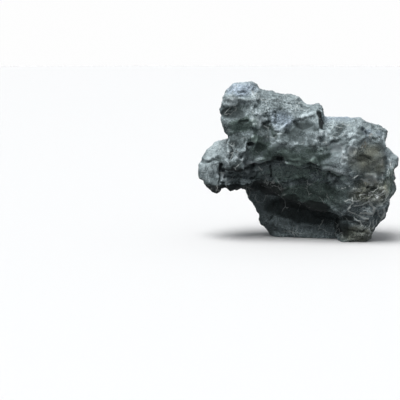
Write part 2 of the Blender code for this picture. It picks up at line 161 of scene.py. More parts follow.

# What is drawn on the front, by where it shows in the photograph: pixels across and down. A crack has a half
# width and a depth in millimetres, a rim with a painted highlight a half width and how clear that highlight is,
# and a vein how clear it is.
FRONT_CRACKS = [
    (1.1, 2.6, [(219, 158), (220.5, 165), (221, 172), (220.5, 180), (219.5, 184)]),
    (1.6, 3.0, [(215.5, 159.5), (219, 157.5)]),
    (1.1, 1.7, [(228.5, 138), (228.8, 145), (231, 149), (231.5, 155), (230, 160), (230, 165)]),
    (1.0, 1.1, [(247.3, 146), (247.3, 151), (243.5, 154), (240.5, 158)]),
    (1.4, 1.4, [(248, 144), (253.5, 144)]),
    (1.5, 2.6, [(223, 170.5), (231, 172), (240, 171.5), (246, 169.5), (249.5, 166.5), (255, 164.5),
        (262, 165), (268, 162.5), (272, 161.5)]),
    (1.1, 1.6, [(225, 176), (232, 177), (240, 176.5), (246, 178.5), (252, 178), (256, 176), (258, 173.5)]),
    (0.9, 1.2, [(228, 183), (236, 181), (246, 183.5), (250, 184.5)]),
    (0.9, 1.0, [(249, 171), (254, 172), (257, 175)]),
    (1.1, 1.6, [(270.5, 166), (271, 176)]),
    (1.0, 1.4, [(256, 179), (266, 180.5), (274, 182.5)]),
    (0.8, 1.0, [(279, 179.5), (289, 179.7)]),
    (0.9, 1.2, [(280, 182.5), (289, 182), (299, 179), (304, 178.5)]),
    (1.3, 2.2, [(286, 161.5), (296, 162.5), (303, 165), (309, 164.5), (313, 165), (317, 167),
        (321, 170), (325, 171), (328, 171.5), (333, 175.5), (338, 177), (343, 176.3), (347, 177.3)]),
    (1.5, 3.0, [(309.5, 163.5), (312, 165)]),
    (1.0, 1.4, [(327.5, 174), (327.6, 181), (331, 184)]),
    (0.9, 0.5, [(320, 133.7), (327, 134), (331, 134), (336, 131), (341, 128)]),
    (0.9, 0.6, [(344, 137), (349, 140.7), (352, 139.5), (357, 138.3), (361, 137.3)]),
    (1.5, 2.6, [(386, 158), (386.6, 162)]),
    (0.9, 1.0, [(386, 148), (386.3, 157)]),
    (0.9, 1.0, [(386, 166), (386, 176), (387.5, 187), (385.5, 197)]),
    (1.0, 1.4, [(354, 217.5), (361, 220.5), (368, 221)]),
    (1.4, 2.0, [(367.5, 188), (369, 186.5)]),
    (1.4, 1.6, [(371.5, 188.5), (376, 187.5)]),
    (0.9, 0.8, [(321, 146.5), (327, 149.5), (331, 150)]),
    (0.7, 0.4, [(324.6, 136), (325, 144)]),
    (1.0, 0.8, [(361, 156), (366, 157.5), (371, 159.5)]),
    (0.9, 0.8, [(357, 161.5), (361, 161.5)]),
    (1.0, 1.2, [(302, 107), (307, 107.2)]),
    (1.2, 1.8, [(366.5, 132.5), (368, 132.8)]),
    (1.2, 1.8, [(373.5, 127.3), (374.7, 127.6)]),
    (1.2, 1.6, [(373, 138), (374.5, 138.4)]),
    (0.9, 0.6, [(378, 138), (380, 138)]),
    (1.1, 1.0, [(262, 115.5), (264, 116.5)]),
    (1.0, 0.9, [(262, 122.5), (263.5, 124)]),
    (1.0, 0.9, [(267.5, 127), (269, 127.3)]),
    (1.0, 0.8, [(257.5, 101.5), (259, 103)]),
    (1.0, 1.3, [(275.3, 112), (275.8, 118), (275, 123)]),
    (0.9, 0.8, [(274.5, 132), (279, 132.3)]),
    (1.0, 1.3, [(314.5, 130), (317.5, 128.7)]),
    (0.9, 1.1, [(350, 222), (358, 223.5), (366, 224)]),
    (0.9, 1.1, [(345, 229), (356, 231.5), (364, 231)]),
    (1.1, 0.9, [(240.5, 121), (243.5, 121.5), (247, 121)]),
]
FRONT_HIGHLIGHT_RIMS = [
    (1.4, 1.0, [(250.7, 93), (252, 96), (255, 99), (256.6, 101.5), (255.6, 105)]),
    (1.2, 0.6, [(251.5, 87.5), (250, 91), (252, 94), (255.5, 93), (257.3, 90)]),
    (1.3, 0.6, [(232, 98.5), (238, 98), (244, 98.5)]),
    (1.3, 0.5, [(241, 93.5), (244, 91)]),
    (1.5, 1.0, [(280, 130), (282, 128), (285, 125), (288, 122.7), (292, 121), (296, 118.5),
        (301, 117.7), (305, 115.3), (310, 114), (314, 112.5), (318.5, 111.5)]),
    (1.2, 0.5, [(275.5, 130.3), (280, 130.8)]),
    (1.3, 0.8, [(278.5, 135.5), (281.5, 134), (284, 131.5)]),
    (1.2, 1.0, [(271.7, 114.5), (272.8, 118.5)]),
    (1.1, 0.9, [(256.2, 110), (257, 113.5)]),
    (1.1, 0.8, [(260, 121.5), (258.7, 125)]),
    (1.0, 0.8, [(251.3, 108), (251.9, 110.5)]),
    (1.2, 0.8, [(253, 111), (253.7, 113.5)]),
    (1.1, 0.6, [(259.5, 111), (260.5, 113)]),
    (1.2, 0.8, [(277, 141.3), (279, 141.7)]),
    (1.1, 0.5, [(284.5, 140.3), (286, 140.8)]),
    (1.3, 1.0, [(294.5, 143), (298.5, 143.6)]),
    (1.1, 0.6, [(272, 143.3), (274.6, 143.5)]),
    (1.0, 0.45, [(298, 145), (302, 144.8)]),
    (1.1, 0.6, [(319, 129.3), (320.3, 131.3), (324, 132), (330, 131.8), (333, 131), (336, 130)]),
    (1.0, 0.9, [(321.6, 110.5), (322.4, 107)]),
    (1.1, 0.8, [(315.3, 141), (316, 138), (317.7, 135.7)]),
    (1.1, 0.7, [(313.5, 144.7), (316, 143)]),
    (1.1, 0.5, [(319, 147.7), (321, 146)]),
    (1.2, 0.9, [(352, 142), (355, 140.3)]),
    (1.1, 0.6, [(345, 153), (347.5, 150), (351, 146.5), (352.5, 143.5)]),
    (1.3, 0.6, [(336.5, 147.5), (339, 150), (341.3, 153.5), (342, 157.5)]),
    (1.3, 0.7, [(341.5, 160.5), (342.5, 164)]),
    (1.0, 0.8, [(346, 154), (348, 152.5)]),
    (1.3, 0.6, [(354.5, 128), (355.5, 134)]),
    (1.1, 0.35, [(321, 169), (327, 168.8), (331, 171.2), (335, 174.3)]),
    (1.2, 0.4, [(256, 162.3), (262, 162), (266, 160.5), (271, 159.3)]),
    (1.1, 0.3, [(294, 160.7), (300, 162), (303, 163)]),
    (1.0, 0.9, [(303.7, 163.3), (305.3, 163.3)]),
    (1.0, 0.5, [(238.5, 159), (240, 155.5), (244, 152), (246, 148.5), (246, 145.5)]),
    (1.1, 0.5, [(233.5, 147), (234, 157)]),
    (1.0, 0.5, [(237.5, 147), (239, 152), (237.5, 158.5)]),
    (1.2, 0.6, [(231.5, 161.7), (236, 161)]),
    (1.0, 0.7, [(242.3, 138.5), (243, 141.5)]),
    (1.2, 0.6, [(201, 164), (204, 160.5), (208, 157.5)]),
    (1.1, 0.4, [(223.2, 173), (223.7, 182)]),
    (1.0, 0.5, [(243.7, 167.5), (245, 163)]),
    (1.0, 0.6, [(222.5, 167.5), (225.5, 166.5)]),
    (0.9, 0.9, [(296, 176), (296.6, 178)]),
    (0.9, 0.8, [(330, 183.5), (332, 183.3)]),
    (1.0, 0.7, [(331.8, 185.5), (332.5, 186.7)]),
    (1.0, 0.25, [(291, 178), (294.5, 177.5)]),
    (1.2, 0.45, [(329.5, 205), (332, 209), (337, 211.2), (344, 211.5)]),
    (1.4, 1.0, [(345, 211), (347.5, 210)]),
    (1.1, 0.5, [(249.5, 177.3), (251.5, 177.5)]),
    (1.0, 0.6, [(227, 159.5), (225, 162)]),
]
FRONT_VEINS = [
    (0.7, [(347.5, 210), (350, 206.5), (352.5, 203)]),
    (0.6, [(345, 201.7), (349, 199.7), (355, 201), (360, 201.5)]),
    (0.9, [(355, 206), (361, 204.7), (366, 202.7), (368.8, 201.3)]),
    (1.0, [(360, 205), (364, 203.3), (368.5, 202)]),
    (0.9, [(369, 201.7), (372, 205), (374.6, 208), (374, 212), (372.3, 216.5)]),
    (0.6, [(374.6, 208), (377.5, 206.5), (382, 205)]),
    (1.0, [(360.5, 213), (364, 213.2), (368, 213.6), (373, 213)]),
    (0.9, [(359, 215), (363, 217.5), (368, 218.6)]),
    (0.7, [(354, 217), (357, 219.5), (360, 221.7), (362, 225)]),
    (0.6, [(348, 211.3), (353, 213), (359, 215.5)]),
    (0.5, [(359, 195.5), (361, 198), (365, 199.7)]),
    (0.45, [(358.5, 194.8), (364, 194.3), (370, 195), (375.5, 195)]),
    (0.7, [(376, 196.3), (380, 194), (384, 191)]),
    (0.6, [(377, 198), (382, 195.3), (386.5, 191.5)]),
    (0.5, [(369, 193), (374, 190.5), (378, 188)]),
    (0.45, [(371.5, 199.3), (375, 199), (379, 200), (383.5, 199)]),
    (0.9, [(361, 178.8), (364, 180), (367.5, 181.3)]),
    (0.7, [(364, 180.7), (368, 179.3)]),
    (0.45, [(352, 178.5), (356, 176), (358.5, 175)]),
    (0.5, [(371.5, 184), (373.5, 179), (375.3, 176)]),
    (0.5, [(369.5, 185.5), (373.5, 185)]),
    (0.4, [(381, 184), (383, 179), (382, 174)]),
    (0.5, [(355, 190), (358.5, 191.7), (363, 190)]),
    (0.6, [(378, 210), (378.6, 214), (380.3, 217.5)]),
    (0.8, [(384, 208.5), (384.6, 212), (382.4, 217), (380, 221.5)]),
    (0.6, [(369, 228), (370.5, 232), (369, 235.5)]),
    (0.6, [(370.5, 222), (369.4, 226)]),
    (0.5, [(374, 219), (373, 224), (375, 227)]),
    (0.5, [(377, 219), (376, 224), (372.5, 229)]),
    (0.35, [(361, 229.5), (366, 228.5), (369, 229.5)]),
    (0.4, [(386.7, 164), (388, 170), (386.8, 178), (388, 186)]),
    (0.45, [(390.5, 163), (391.8, 170), (391, 180), (389.3, 189)]),
    (0.4, [(393.7, 168), (394.6, 176), (393.3, 184)]),
    (0.4, [(389.3, 172), (389, 181), (387.5, 190)]),
    (0.5, [(386, 199), (388, 195), (390, 190)]),
    (0.4, [(383, 203), (387, 200), (390.5, 196)]),
    (0.5, [(390, 166.5), (390.6, 161.5)]),
    (0.4, [(340, 189), (345, 188), (350, 185.5)]),
    (0.35, [(335, 200.5), (341, 200.2), (345, 199)]),
    (0.35, [(305, 188), (311, 184), (316, 181)]),
    (0.5, [(317.5, 172.5), (318.5, 174)]),
    (0.5, [(283, 195), (286, 194)]),
    (0.5, [(367, 215), (371.5, 214.5)]),
    (0.4, [(363, 198.3), (366.5, 196.5)]),
    (0.5, [(360, 208), (365, 207), (369, 208.5)]),
    (0.5, [(363, 210.5), (370, 210), (374, 211)]),
    (0.45, [(352, 196), (352.6, 200), (354, 206)]),
]

# Steps of tone, also used as painted shade and painted light: how much paler or darker than plain rock a place
# is.
BLACK, GLOOMY, DARK, DUSKY, DULL = -0.8, -0.5, -0.3, -0.2, -0.1
LIGHT, PALE, BRIGHT, WHITE = 0.1, 0.2, 0.3, 0.42

# A place on the front: its middle and half sizes in pixels, its tilt in degrees and its step. Many places are
# painted shade, darkest under the lip and the overhangs, in the notch and in the hollows, and others painted
# light on faces in shade.
FRONT_TONES_AND_PAINTED_LIGHT = {
    "cap": ((238, 90), (15, 6.5), 20, LIGHT),
    "hollow_a_dark": ((231, 111.5), (11, 6.5), 5, DUSKY),
    "hollow_a_low": ((236, 114.5), (9, 4), 10, DARK),
    "hollow_a_west": ((226, 113), (4, 6), 0, DARK),
    "hollow_a_east": ((246, 110), (5, 4), 0, DULL),
    "hollow_b_top": ((243, 121), (5, 2.5), 0, DARK),
    "head_west": ((226, 102), (4, 4), 0, PALE),
    "head_pale": ((233, 102.5), (5, 4), 0, BRIGHT),
    "neck": ((258, 131), (12, 12), 0, DULL),
    "neck_low": ((265, 142), (14, 10), 0, DULL),
    "neck_top": ((259, 121), (8.5, 6.5), 30, WHITE),
    "valley_hole": ((251, 144.5), (6, 5), 0, PALE),
    "valley_left": ((254.5, 140), (4, 5), 0, WHITE),
    "valley_right": ((266, 139), (5, 5), 0, DUSKY),
    "block": ((236, 152), (7, 9), 0, DULL),
    "block_top": ((238, 139), (9, 6), 0, DARK),
    "block_high": ((233.5, 144.5), (4, 3.5), 0, DUSKY),
    "block_edge": ((250, 146.5), (4, 3), 0, DARK),
    "block_stripe": ((234, 161), (2.5, 6), -20, BRIGHT),
    "block_gap": ((242, 157), (3.5, 4.5), 0, PALE),
    "block_foot": ((237, 167), (6, 7), 0, GLOOMY),
    "block_side": ((248, 166), (4, 9), 0, WHITE),
    "block_scoop": ((260, 154), (12, 8), 0, DULL),
    "strata_right": ((245, 181), (5, 4), 0, BRIGHT),
    "seam": ((237, 171), (14, 1.8), -2, GLOOMY),
    "seam_east": ((253, 166), (7, 1.8), 20, DULL),
    "under_west": ((236, 188), (14, 3.5), 0, BLACK),
    "west_top": ((213, 148), (11, 9), 40, LIGHT),
    "west_front": ((210, 173), (10, 11), 0, LIGHT),
    "west_low": ((215, 189), (12, 4), 0, BLACK),
    "west_corner": ((215, 181), (5, 5), 0, DUSKY),
    "joint_side": ((223.5, 175), (3.5, 7), 0, BRIGHT),
    "pit_dark": ((265, 120), (4, 7), 0, DUSKY),
    "pit_low": ((268, 126), (5, 5), 30, DUSKY),
    "brow_blue": ((280, 113), (8, 8), 0, DULL),
    "brow_pale": ((291, 107), (8, 7), -30, LIGHT),
    "scoop_top": ((293, 130), (9, 8), 30, DULL),
    "scoop_mid": ((303, 132), (14, 10), 10, DUSKY),
    "scoop_pale": ((312, 137), (6, 6), 0, PALE),
    "scoop_west": ((286, 138), (6, 6.5), 0, DUSKY),
    "scoop_foot": ((313, 143.5), (5, 3.5), 0, DARK),
    "scoop_rim": ((291, 126), (3.5, 5), -35, BRIGHT),
    "scoop_right": ((306, 124), (8, 4), 12, LIGHT),
    "shoulder_low": ((304, 124), (8, 4), 15, DARK),
    "shoulder_pit": ((333.5, 139.5), (4.5, 2.5), 0, LIGHT),
    "notch_top": ((323.5, 113), (2.2, 3.5), 0, LIGHT),
    "notch_dark": ((320.5, 119.5), (3.0, 8.5), 6, BLACK),
    "notch_pale": ((330, 126), (6, 6), 20, LIGHT),
    "notch_lip": ((321, 130), (5, 2.5), 0, DARK),
    "notch_foot": ((323, 134), (4, 5), 0, BRIGHT),
    "facet_dark": ((339, 130), (8, 3.6), 28, DARK),
    "mid_left": ((330, 139), (12, 5), 0, DULL),
    "mid_low": ((338, 142), (10, 4), 0, DULL),
    "mid_hole": ((334, 139.5), (4, 2.5), 0, PALE),
    "blue_a": ((361.5, 130.5), (5.5, 4.6), 0, DUSKY),
    "blue_b": ((380.5, 131.5), (5.5, 4.2), 0, DULL),
    "face_stripe": ((352, 136.5), (5, 2.5), 0, PALE),
    "face_low": ((364, 142.5), (6, 2), 35, PALE),
    "corner": ((385, 139), (3.5, 10), 0, PALE),
    "corner_east": ((376, 141), (6, 2.5), 10, DUSKY),
    "spur": ((336, 156), (8.5, 7), 60, PALE),
    "spur_top": ((330, 149), (13, 4.5), 12, WHITE),
    "spur_right": ((352, 150), (5, 6), 0, WHITE),
    "spur_low": ((344, 160), (4, 6), 0, BRIGHT),
    "spur_foot": ((355, 173), (3.5, 5), 0, DUSKY),
    "slope": ((338, 161), (9, 3), 0, DUSKY),
    "facet": ((367, 149), (19, 12), 0, DULL),
    "facet_low": ((366, 168), (20, 9), 0, DULL),
    "facet_rim": ((374, 140), (13, 3), 8, PALE),
    "facet_foot": ((369, 179), (7, 7), 0, WHITE),
    "facet_east": ((376, 162), (8, 4), 0, PALE),
    "east_low": ((387, 188), (5, 8), 0, PALE),
    "band": ((303, 154.5), (26, 10), 0, DUSKY),
    "band_left": ((262, 150), (7, 7), 0, DULL),
    "band_right": ((325, 158), (8, 9), -30, DULL),
    "band_top": ((282, 148), (9, 4), 0, PALE),
    "band_step": ((324, 151), (4, 3), 0, DUSKY),
    "lip": ((298, 162), (18, 4), -3, BRIGHT),
    "lip_left": ((260, 161), (9, 3), 10, BRIGHT),
    "lip_west": ((303, 163.5), (5, 2.5), -10, BRIGHT),
    "lip_mid": ((315, 162), (5, 4.5), 0, BRIGHT),
    "lip_right": ((333, 172), (14, 6), -20, BRIGHT),
    "lip_hole": ((278, 157.5), (6.5, 3.2), 0, GLOOMY),
    "lip_line": ((309, 165.5), (9, 1.8), -10, DULL),
    "lip_line_east": ((330, 174), (6, 1.8), -32, DULL),
    "low_band": ((290, 172), (32, 9), 0, LIGHT),
    "low_left": ((256, 186), (6, 5), 0, GLOOMY),
    "low_mid": ((315, 190), (22, 10), -10, DUSKY),
    "low_shelf": ((337, 187), (13, 4.5), 0, DUSKY),
    "low_recess": ((273, 190), (11, 7), 0, BLACK),
    "shelf_left": ((331, 180), (5, 4.5), 0, BRIGHT),
    "shelf_right": ((347, 180), (7, 4), 0, PALE),
    "shelf_dark": ((348, 217.5), (6, 3), 0, GLOOMY),
    "vein_bed": ((372, 192), (8, 4), 15, DARK),
    "vein_shelf": ((362, 197), (14, 3.5), 0, DUSKY),
    "vein_pale": ((360, 190.5), (11, 2.5), 8, PALE),
    "bed_pale": ((366, 203), (12, 2.5), 5, LIGHT),
    "bed_low": ((362, 214), (14, 3.5), 0, LIGHT),
    "bed_edge": ((332, 205), (5, 4), -35, PALE),
    "lowright_east": ((373, 212), (13, 10), 35, LIGHT),
    "corner_low": ((380, 212), (6, 8), 20, LIGHT),
    "underbelly": ((300, 212), (36, 10), -12, GLOOMY),
    "under_lip": ((291, 203), (10, 5), -10, BLACK),
    "under_toe": ((316, 207), (15, 6), -5, BLACK),
    "under_mid": ((290, 200), (9, 7), 0, GLOOMY),
    "under_high": ((267, 186), (7, 7), 0, GLOOMY),
    "under_right": ((284, 185), (5, 5), 0, DARK),
    "toe": ((358, 230), (12, 8), 0, LIGHT),
    "toe_east": ((371, 228), (5, 9), -10, LIGHT),
    "toe_west": ((342, 226), (6, 8), 0, DARK),
    "toe_shelf": ((352, 234), (15, 4), 0, DUSKY),
    "toe_low": ((350, 237), (12, 2.5), 0, PALE),
    "toe_mark": ((348, 235.5), (6, 4), 0, DARK),
    "toe_tip": ((343, 236), (4.6, 4), 0, DARK),
    "bed_corner": ((335, 209), (4, 3), -30, DUSKY),
}

CRACKS = {
    "front": FRONT_CRACKS,
    "back": [
        (1.3, 2.6, [(-38, 124), (-30, 112), (-22, 102), (-23, 86), (-12, 76), (-4, 68), (4, 46)]),
        (1.1, 2.0, [(-22, 102), (-4, 98), (14, 102), (30, 96)]),
        (1.1, 2.0, [(70, 92), (66, 78), (64, 66), (70, 44)]),
        (1.0, 1.6, [(-66, 84), (-50, 80), (-40, 84), (-23, 86)]),
        (1.0, 1.4, [(-4, 68), (16, 64), (34, 68), (48, 62)]),
        (0.9, 1.2, [(30, 50), (36, 36), (32, 20)]),
    ],
    "east": [
        (1.1, 1.8, [(12, 96), (8, 74), (14, 50), (10, 36)]),
        (1.0, 1.4, [(-30, 62), (-14, 58), (8, 60)]),
        (1.0, 1.4, [(14, 50), (30, 52), (40, 46)]),
    ],
    "west": [
        (1.2, 2.0, [(-24, 84), (-10, 78), (8, 80), (24, 72)]),
        (1.0, 1.4, [(4, 132), (8, 118), (4, 108)]),
    ],
    "top": [
        (1.1, 2.0, [(-40, 4), (-20, 10), (-6, 20), (4, 36)]),
        (1.1, 1.8, [(30, 8), (40, 14), (52, 14), (70, 8)]),
        (1.0, 1.4, [(40, 14), (44, 28), (40, 40)]),
    ],
}
HIGHLIGHT_RIMS = {
    "front": FRONT_HIGHLIGHT_RIMS,
    "back": [
        (1.3, 0.8, [(-64, 100), (-54, 104), (-40, 102), (-28, 106)]),
        (1.3, 0.8, [(-8, 84), (2, 82), (16, 86), (26, 82)]),
        (1.3, 0.7, [(34, 94), (46, 96), (60, 92)]),
    ],
    "east": [
        (1.3, 0.7, [(-24, 82), (-10, 80), (2, 84)]),
        (1.2, 0.6, [(6, 46), (18, 44), (30, 48)]),
    ],
    "west": [(1.3, 0.7, [(-8, 122), (4, 120), (16, 124)])],
    "top": [
        (1.3, 0.6, [(-34, 24), (-22, 28), (-10, 26)]),
        (1.3, 0.6, [(34, 26), (48, 28), (58, 24)]),
    ],
}
VEINS = {
    "front": FRONT_VEINS,
    "back": [
        (0.50, [(72, 70), (60, 66), (48, 62), (34, 66), (24, 64), (12, 58), (4, 54)]),
        (0.39, [(48, 62), (40, 50), (36, 42), (34, 30)]),
        (0.39, [(-16, 108), (-26, 100), (-36, 92), (-46, 78), (-44, 60)]),
        (0.33, [(14, 102), (2, 98), (-10, 92), (-28, 94)]),
        (0.39, [(60, 34), (48, 28), (34, 30), (20, 22), (8, 24)]),
        (0.28, [(66, 54), (58, 46), (62, 38), (56, 30)]),
        (0.28, [(-62, 96), (-54, 88), (-56, 78)]),
        (0.33, [(24, 64), (20, 76), (24, 88), (20, 98)]),
    ],
    "east": [
        (0.50, [(-24, 74), (-14, 68), (-4, 62), (10, 60), (24, 52), (34, 48)]),
        (0.39, [(-12, 44), (0, 48), (10, 54), (22, 66)]),
        (0.33, [(-22, 26), (-8, 30), (2, 34), (20, 36)]),
        (0.33, [(-28, 92), (-20, 84), (-18, 72)]),
        (0.28, [(8, 86), (16, 80), (28, 82)]),
        (0.28, [(-16, 20), (-12, 32), (-16, 44)]),
    ],
    "west": [
        (0.39, [(-8, 62), (4, 66), (12, 72), (22, 76)]),
        (0.33, [(2, 130), (12, 122), (24, 110)]),
        (0.28, [(-16, 56), (-6, 50), (8, 54)]),
    ],
    "top": [
        (0.39, [(-8, -14), (-12, -2), (-14, 8), (-10, 24), (-18, 36)]),
        (0.39, [(44, -8), (40, 12), (48, 24), (54, 34)]),
        (0.33, [(-70, -4), (-58, 4), (-50, 2), (-42, 10)]),
        (0.28, [(44, -8), (56, -4), (68, -10), (78, -8)]),
    ],
}
# Tones of all sides. On the back and the sides they are darker in hollows, under the stone and low down, and
# paler high up: partly the rock's tone, partly painted shade and painted light.
TONES_AND_PAINTED_LIGHT = {
    "front": FRONT_TONES_AND_PAINTED_LIGHT,
    "back": {
        "high_hollow": ((-40, 114), (22, 16), 12, -0.14),
        "scoop": ((10, 98), (18, 11), -16, -0.10),
        "band": ((10, 62), (50, 9), 2, -0.12),
        "east_hollow": ((54, 80), (18, 12), 10, -0.10),
        "low": ((10, 22), (60, 20), 0, -0.10),
        "west": ((-62, 74), (18, 14), 0, -0.04),
        "pale": ((-10, 128), (30, 8), -6, 0.06),
    },
    "east": {
        "upper": ((-10, 90), (16, 8), 8, 0.04),
        "middle": ((8, 60), (18, 10), -8, -0.06),
        "low": ((4, 20), (34, 14), 0, -0.10),
    },
    "west": {
        "head_low": ((8, 112), (18, 10), 6, -0.16),
        "end": ((8, 66), (22, 12), 0, 0.02),
        "under": ((10, 50), (40, 10), 0, -0.14),
        "foot": ((20, 22), (30, 22), 0, -0.14),
    },
    "top": {
        "shoulder": ((8, 12), (12, 18), 0, 0.04),
        "saddle": ((44, 6), (20, 26), 0, 0.06),
        "brow": ((-24, 14), (16, 20), 0, -0.04),
    },
}

PATCHES = (24.0, 0.16)  # broad paler and darker patches away from the front: their size and strength

# Stains: ellipsoids by their middle and half sizes.
GREEN = [
    ((0, -40, 86), (42, 18, 14)),
    ((-36, -32, 98), (18, 18, 26)),
    ((4, -26, 54), (66, 30, 28)),
    ((-58, -24, 116), (18, 18, 20)),
    ((88, -30, 64), (14, 20, 22)),
    ((-20, 46, 50), (60, 18, 30)),
]
OLIVE = [
    ((66, -46, 84), (26, 14, 20)),
    ((58, -26, 8), (26, 22, 12)),
    ((68, -40, 52), (26, 16, 16)),
    ((50, 44, 70), (36, 16, 24)),
    ((-50, 40, 70), (22, 16, 16)),
]
BLUE = [
    ((64, -38, 112), (10, 14, 7)),
    ((82, -34, 110), (9, 14, 8)),
    ((-18, -32, 124), (18, 18, 14)),
    ((-58, -12, 150), (20, 22, 9)),
    ((40, 10, 120), (34, 30, 10)),
]
RUST = [
    ((68, -38, 109), (4, 9, 7)),
    ((60, -46, 98), (4, 6, 4)),
    ((-6, -38, 126), (5, 8, 8)),
    ((30, 44, 96), (7, 8, 6)),
    ((-50, 44, 84), (6, 8, 5)),
]
FIBRES = [((90, -14, 60), (12, 26, 36)), ((74, -34, 34), (26, 22, 26)), ((-88, -10, 70), (12, 14, 14))]
STAINS = {"green": GREEN, "olive": OLIVE, "blue": BLUE, "rust": RUST, "fibre": FIBRES}
FIBRE_MIDDLE = (42, 0, 66)  # the fibres wrap round this line, which runs from front to back

# Linear colours: a quarter up the palette is about 2.65 times as light.
PALETTE = [
    (0.00, (0.0085, 0.0122, 0.0127)),
    (0.25, (0.0235, 0.0325, 0.0335)),
    (0.50, (0.0670, 0.0860, 0.0880)),
    (0.75, (0.1870, 0.2270, 0.2370)),
    (1.00, (0.5050, 0.5900, 0.6150)),
    (1.12, (0.7200, 0.8000, 0.8200)),
]
BASE_TONE = 0.69
SKYWARD = (-0.15, -0.15, 0.97)  # the way that the paler surfaces face, tilted towards the key light: dust and painted light
# The colour of the painted shade in sunken creases and in places that see little sky.
PAINTED_SHADE_COLOR = (0.006, 0.009, 0.010)
CALCITE = (0.88, 0.93, 0.91)
IRON = (0.210, 0.150, 0.095)
GREEN_TINT = (0.90, 1.0, 0.88)
OLIVE_TINT = (1.14, 1.0, 0.80)
BLUE_TINT = (0.97, 1.0, 1.12)

# Nets of hairline veins: the size of a mesh, its lines' width as a share of that and how clear they are.
PLAIN_NET = (13.0, 0.035, 0.35)
FIBRE_NET = (6.0, 0.09, 0.55)

# Studio: lengths in metres, and the lights.
ROUND = 96  # corners of the floor's and the backdrop's circle
FLOOR_RADIUS = 8.0
FLOOR_DROP = 0.0002  # the floor lies so far under the stone's base, which keeps the two apart
BACKDROP_RADIUS = 7.9
BACKDROP_HEIGHT = 16.0
BACKDROP_SINK = 0.1  # how far its lower edge reaches under the floor
FLOOR_COLOR = (0.80, 0.80, 0.80)
BACKDROP_GLOW = 0.97
SKY_COLOR = (0.94, 0.97, 1.0)
SKY_STRENGTH = (0.08, 0.42)  # from below and from above
KEY_STRENGTH = 3.0
KEY_ANGLE = 0.75  # in radians: a wide soft light
KEY_DIRECTION = Vector((0.30, 0.36, -1.03))


# ---------------------------------------------------------------- places on the stone


def tree_of(mesh):
    points = [point.co for point in mesh.vertices]
    return BVHTree.FromPolygons(points, [face.vertices for face in mesh.polygons])


SOLID = tree_of(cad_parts["stone"].data)


def on_front(pixel):
    """Where the photograph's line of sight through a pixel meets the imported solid, as (x, z) in its plane."""
    across, down = pixel
    half = PHOTO_SIZE / 2
    through = AIM + MM * (Vector((across - half, 0, 0)) + UPWARD * (half - down))
    hit = SOLID.ray_cast(EYE, through - EYE)[0]
    if hit is None:
        hit = SOLID.find_nearest(through)[0]
    return hit.x / MM, hit.z / MM


def drift(place):
    """A smooth shift that changes from place to place."""
    return Vector([noise.noise(place + start) for start in DRIFT_STARTS])


def drifted(points, size, amount):
    """Points moved a little, so that what is drawn with them gets an uneven edge."""
    return points + amount * np.array([drift(Vector(point) / size) for point in points])


def zone_share(points, zones):
    """1 in the heart of any zone and 0 outside them all."""
    share = np.zeros(len(points))
    for middle, half in zones:
        reach = np.linalg.norm((points - middle) / half, axis=1)
        share = np.maximum(share, np.clip(2 - 2 * reach, 0, 1))
    return share


def seen_from(points, normals, side, low, high):
    """1 where the surface faces a side and 0 where it turns away."""
    facing = np.clip((normals @ np.array(SIDES[side][2]) - low) / (high - low), 0, 1)
    if side == "front":
        end, fade = FRONT_END
        facing *= np.clip((end - points[:, 1]) / fade, 0, 1)
    return facing


def line_distance(flat, line):
    """How far each 2D point is from a line through several points."""
    nearest = np.full(len(flat), np.inf)
    for start, end in zip(line[:-1], line[1:]):
        start, along = np.array(start, float), np.subtract(end, start)
        share = np.clip((flat - start) @ along / (along @ along), 0, 1)
        nearest = np.minimum(nearest, np.linalg.norm(flat - start - share[:, None] * along, axis=1))
    return nearest


def drawn(points, normals, table, profile):
    """The strongest of the table's lines at each point: profile(distance, entry) is the share of one line."""
    result = np.zeros(len(points))
    for side, entries in table.items():
        flat = points[:, SIDES[side][:2]]
        facing = seen_from(points, normals, side, *CLEARLY.get(side, CLEARLY["other"]))
        if side == "front":
            facing *= np.clip((ASIDE[1] - np.abs(normals[:, 0])) / (ASIDE[1] - ASIDE[0]), 0, 1)
        for entry in entries:
            line = [on_front(point) if side == "front" else point for point in entry[-1]]
            result = np.maximum(result, facing * profile(line_distance(flat, line), entry))
    return result


def groove(distance, entry):
    half, depth = entry[:2]
    return depth * np.clip(1 - (distance / (GROOVE_REACH * half)) ** 2, 0, 1)


# A rim's painted highlight, palest along its line.
def highlight_edge(distance, entry):
    half, clear = entry[:2]
    return clear * np.clip(1 - distance / (EDGE_REACH * half), 0, 1)


def vein(distance, entry):
    clear = entry[0]
    reach = VEIN_REACH[0] + VEIN_REACH[1] * clear
    return (VEIN_STRENGTH[0] + VEIN_STRENGTH[1] * clear) * np.clip(1 - distance / reach, 0, 1)


def tone_share(flat, middle, half, tilt):
    """1 in the heart of a tilted place and 0 outside it, with a soft edge."""
    angle = math.radians(tilt)
    across, up = (flat - middle).T
    u = np.abs(across * math.cos(angle) + up * math.sin(angle)) / half[0]
    v = np.abs(up * math.cos(angle) - across * math.sin(angle)) / half[1]
    reach = (u**TONE_SQUARE + v**TONE_SQUARE) ** (1 / TONE_SQUARE)
    share = np.clip((TONE_EDGE[0] - reach) / TONE_EDGE[1], 0, 1)
    return share * share * (3 - 2 * share)


